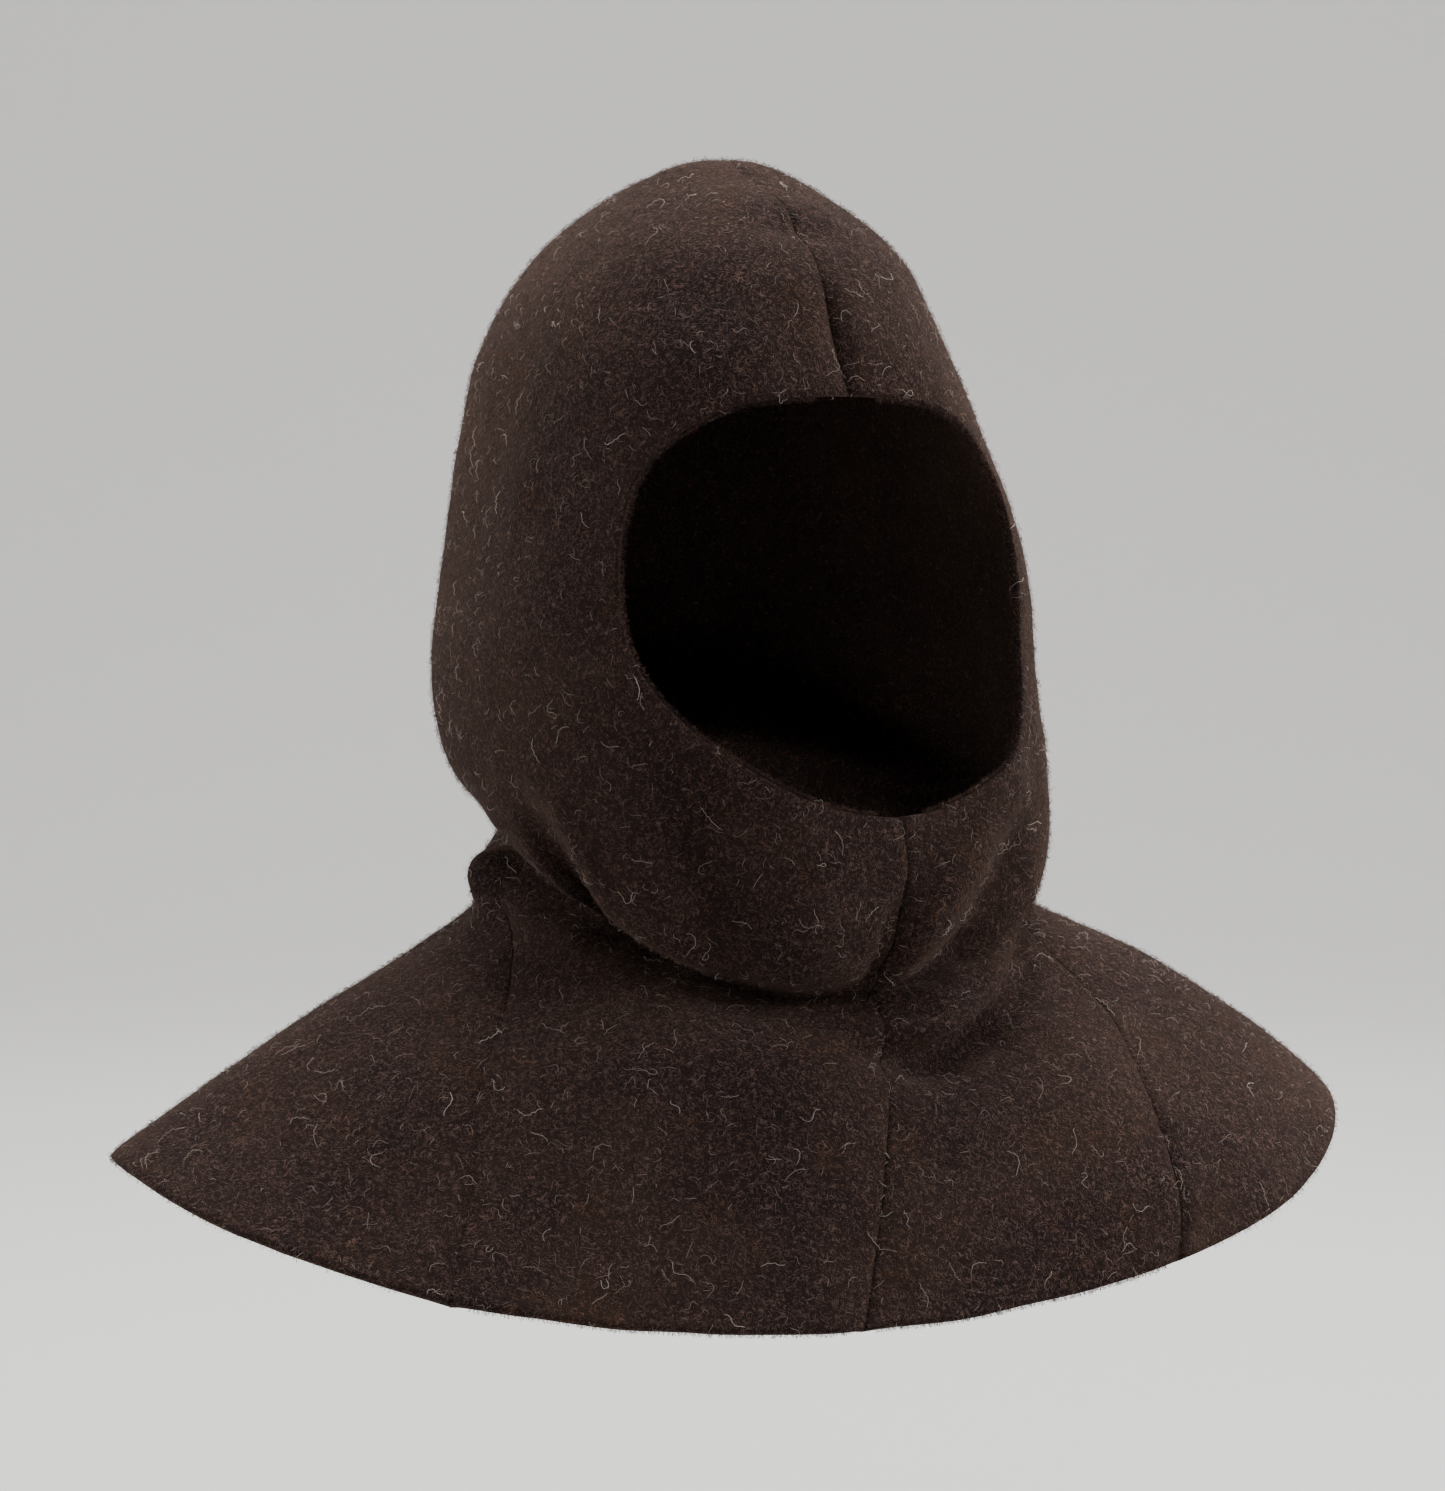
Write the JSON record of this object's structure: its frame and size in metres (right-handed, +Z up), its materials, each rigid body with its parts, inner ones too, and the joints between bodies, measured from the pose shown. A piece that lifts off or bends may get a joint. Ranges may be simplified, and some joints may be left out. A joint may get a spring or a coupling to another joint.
{
  "type": "medieval hood",
  "caption": "Hood of thick brown fulled wool with a short shoulder cape, an oval face opening and a gore over each shoulder, kept in its worn form.",
  "frame": {"origin": "the inside of the crown, where the hood sits on the head", "axes": "+Z up, the face and the chest look along -Y, the wearer's left is +X"},
  "size_m": [0.4936, 0.2755, 0.4258],
  "materials": {
    "wool": "thick fulled wool with a short, hairy nap"
  },
  "bodies": {
    "root": {"hood_left": "wool", "hood_right": "wool", "shoulder_gore_left": "wool", "shoulder_gore_right": "wool"}
  },
  "joints": []
}
